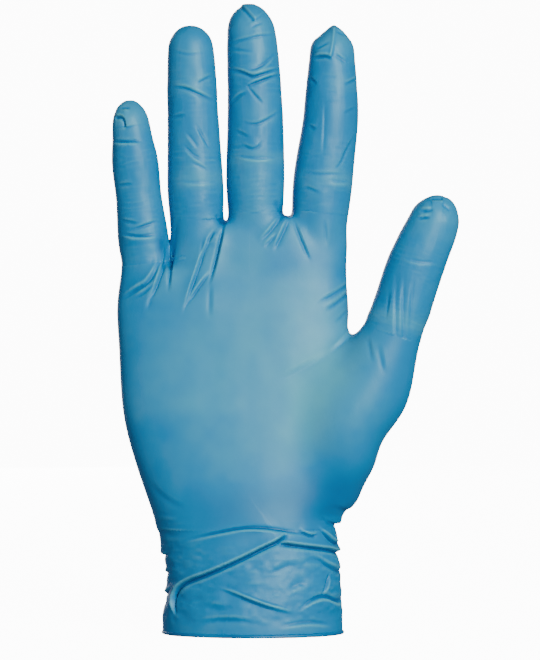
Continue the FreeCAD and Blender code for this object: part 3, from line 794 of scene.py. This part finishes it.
def bead_look():
    """Nitrile wound on itself many times, darker than the film, with fine lines running along the roll."""
    material = bpy.data.materials.new("nitrile_bead")
    material.use_nodes = True
    nodes, links = material.node_tree.nodes, material.node_tree.links
    shader = nodes["Principled BSDF"]
    shader.inputs["IOR"].default_value = 1.42
    shader.inputs["Roughness"].default_value = 0.42
    place = nodes.new("ShaderNodeTexCoord")
    stretched = nodes.new("ShaderNodeMapping")
    stretched.inputs["Scale"].default_value = (90.0, 90.0, 2600.0)
    lines = nodes.new("ShaderNodeTexNoise")
    lines.inputs["Scale"].default_value = 1.0
    lines.inputs["Detail"].default_value = 3.0
    ramp = nodes.new("ShaderNodeValToRGB")
    ramp.color_ramp.elements[0].position = 0.3
    ramp.color_ramp.elements[0].color = (*DEEP_BLUE, 1.0)
    ramp.color_ramp.elements[1].position = 0.75
    ramp.color_ramp.elements[1].color = (*BLUE, 1.0)
    bump = nodes.new("ShaderNodeBump")
    bump.inputs["Strength"].default_value = 0.3
    bump.inputs["Distance"].default_value = 0.08 * MM
    links.new(place.outputs["Object"], stretched.inputs["Vector"])
    links.new(stretched.outputs["Vector"], lines.inputs["Vector"])
    links.new(lines.outputs["Fac"], ramp.inputs["Fac"])
    links.new(ramp.outputs["Color"], shader.inputs["Base Color"])
    links.new(lines.outputs["Fac"], bump.inputs["Height"])
    links.new(bump.outputs["Normal"], shader.inputs["Normal"])
    return material


def rim_line(turns):
    """How far out the middle line of the rim lies at each angle, from the bead in the frame."""
    co, _ = mesh_arrays(frame["nodes"]["rim_bead"].data)
    around = np.degrees(np.arctan2(co[:, 1], co[:, 0])) % 360.0
    out = np.hypot(co[:, 0], co[:, 1])
    reach = np.empty(len(turns))
    for k, turn in enumerate(turns):
        near = np.abs((around - turn + 180.0) % 360.0 - 180.0) < 4.0
        reach[k] = 0.5 * (out[near].min() + out[near].max())
    return reach


def rolled_rim(rounds=360, corners=20):
    """A bead as a spiral in section, whose free edge runs round its inner side as a small step."""
    low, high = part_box("rim_bead")
    radius = 0.5 * (high.z - low.z)
    turns = np.arange(rounds) * 360.0 / rounds
    reach = rim_line(turns)
    wave = np.radians(turns)
    circle = np.stack([9 * np.cos(wave), 9 * np.sin(wave), 0 * wave], 1)
    uneven = 1.0 - 0.05 * (1.0 + lattice_noise(circle, 151))
    angle = 2.0 * math.pi * np.arange(corners) / corners
    spiral = 1.0 - 0.14 * np.arange(corners) / corners
    size = radius * uneven[:, None] * spiral
    out = reach[:, None] + size * np.cos(angle + math.pi)
    up = low.z + radius + size * np.sin(angle)
    co = np.stack([out * np.cos(wave)[:, None], out * np.sin(wave)[:, None], up], 2)
    index = np.arange(rounds * corners).reshape(rounds, corners)
    after = np.roll(index, -1, 0)
    faces = np.stack([index, np.roll(index, -1, 1), np.roll(after, -1, 1), after], 2)
    mesh = new_mesh("rolled_rim", co.reshape(-1, 3), faces.reshape(-1, 4))
    mesh.polygons.foreach_set("use_smooth", np.ones(len(mesh.polygons), bool))
    mesh.materials.append(bead_look())
    bead = new_object("rolled_rim", mesh)
    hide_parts("rim_bead")
    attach(bead, "cuff")


rolled_rim()


# ---------------------------------------------------------------- floor, light and camera

def area_light(name, place, target, size, power, color=(1.0, 1.0, 1.0)):
    data = bpy.data.lights.new(name, "AREA")
    data.shape = "RECTANGLE"
    data.size, data.size_y = size
    data.energy = power
    data.color = color
    light = bpy.data.objects.new(name, data)
    light.location = place
    light.rotation_euler = (Vector(target) - Vector(place)).to_track_quat("-Z", "Y").to_euler()
    bpy.context.scene.collection.objects.link(light)


def backdrop():
    """A pale floor that curves up into a wall all round the glove, and that lights nothing itself."""
    reach, height, bend, turns = 6.0, 8.0, 1.5, 64
    flat = reach - bend
    outline = [(0.01, 0.0), (flat, 0.0)]
    for a in np.linspace(0, math.pi / 2, 13)[1:]:
        outline.append((flat + bend * math.sin(a), bend - bend * math.cos(a)))
    outline.append((reach, height))
    angles = [2.0 * math.pi * k / turns for k in range(turns)]
    co = [(out * math.cos(t), out * math.sin(t), z) for out, z in outline for t in angles]
    faces = [
        (ring + k, ring + (k + 1) % turns, ring + turns + (k + 1) % turns, ring + turns + k)
        for ring in range(0, turns * (len(outline) - 1), turns) for k in range(turns)
    ]
    mesh = bpy.data.meshes.new("backdrop")
    mesh.from_pydata(co, [], faces)
    mesh.polygons.foreach_set("use_smooth", [True] * len(faces))
    obj = new_object("backdrop", mesh)
    paper = bpy.data.materials.new("paper")
    paper.use_nodes = True
    shader = paper.node_tree.nodes["Principled BSDF"]
    shader.inputs["Base Color"].default_value = (0.9, 0.9, 0.9, 1.0)
    shader.inputs["Roughness"].default_value = 0.9
    shader.inputs["Emission Color"].default_value = (1.0, 1.0, 1.0, 1.0)
    shader.inputs["Emission Strength"].default_value = 12.0
    mesh.materials.append(paper)
    obj.visible_diffuse = False
    obj.visible_glossy = False
    obj.visible_shadow = False


backdrop()
world = bpy.data.worlds.new("studio")
world.use_nodes = True
world.node_tree.nodes["Background"].inputs["Color"].default_value = (0.7, 0.86, 1.0, 1.0)
world.node_tree.nodes["Background"].inputs["Strength"].default_value = 0.22
bpy.context.scene.world = world
MIDDLE = (0.0, 0.0, 0.12)
area_light("key", (0.6, -1.3, 0.5), MIDDLE, (0.6, 0.6), 33.0, (0.66, 0.98, 0.84))
area_light("fill", (-1.4, -0.9, 0.2), MIDDLE, (1.0, 1.0), 3.0, (0.8, 0.92, 1.0))
area_light("back", (-0.5, 1.6, 0.5), MIDDLE, (1.0, 1.0), 9.0)

PICTURE_HEIGHT = 251.5 * MM
AIM_X, AIM_Z = 6.5 * MM, 115.8 * MM
DISTANCE = 1.5
SENSOR = 24.0
lens = bpy.data.cameras.new("camera")
lens.sensor_fit = "VERTICAL"
lens.sensor_height = SENSOR
lens.lens = SENSOR * DISTANCE / PICTURE_HEIGHT
camera = bpy.data.objects.new("camera", lens)
camera.location = (AIM_X, -DISTANCE, AIM_Z)
camera.rotation_euler = (math.radians(90), 0.0, 0.0)
bpy.context.scene.collection.objects.link(camera)
bpy.context.scene.camera = camera
